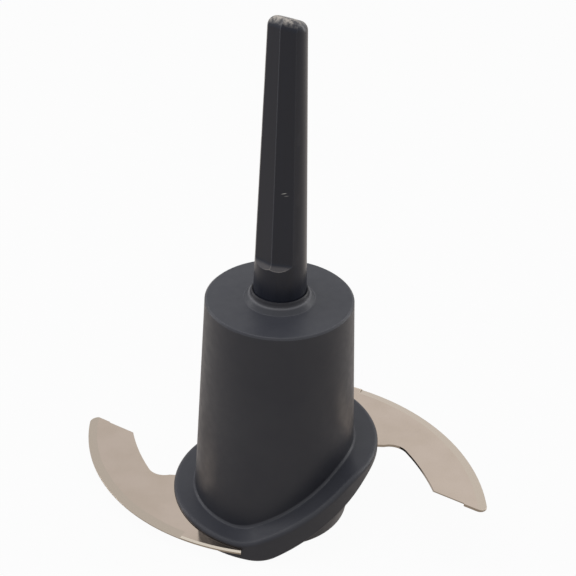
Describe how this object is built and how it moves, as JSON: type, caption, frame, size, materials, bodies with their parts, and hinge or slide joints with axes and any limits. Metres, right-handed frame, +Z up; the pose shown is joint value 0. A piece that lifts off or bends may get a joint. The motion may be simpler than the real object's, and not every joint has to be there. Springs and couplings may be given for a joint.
{
  "type": "food processor blade",
  "caption": "Food processor blade: hollow tapered hub with a tall stem and curved steel blades set at different heights on a sloping flange.",
  "frame": {"origin": "on the turning axis, at the plane of the hub's bottom rim", "axes": "+Z up along the turning axis towards the stem's tip, +X towards the high blade as the picture shows it, +Y away from the viewer"},
  "size_m": [0.1434, 0.0732, 0.1855],
  "materials": {
    "blade_sheet": "polished stainless sheet",
    "hub_body": "satin moulded plastic",
    "stem": "glossy moulded plastic"
  },
  "bodies": {
    "root": {"blade_sheet": "blade_sheet", "hub_body": "hub_body", "stem": "stem"}
  },
  "joints": []
}
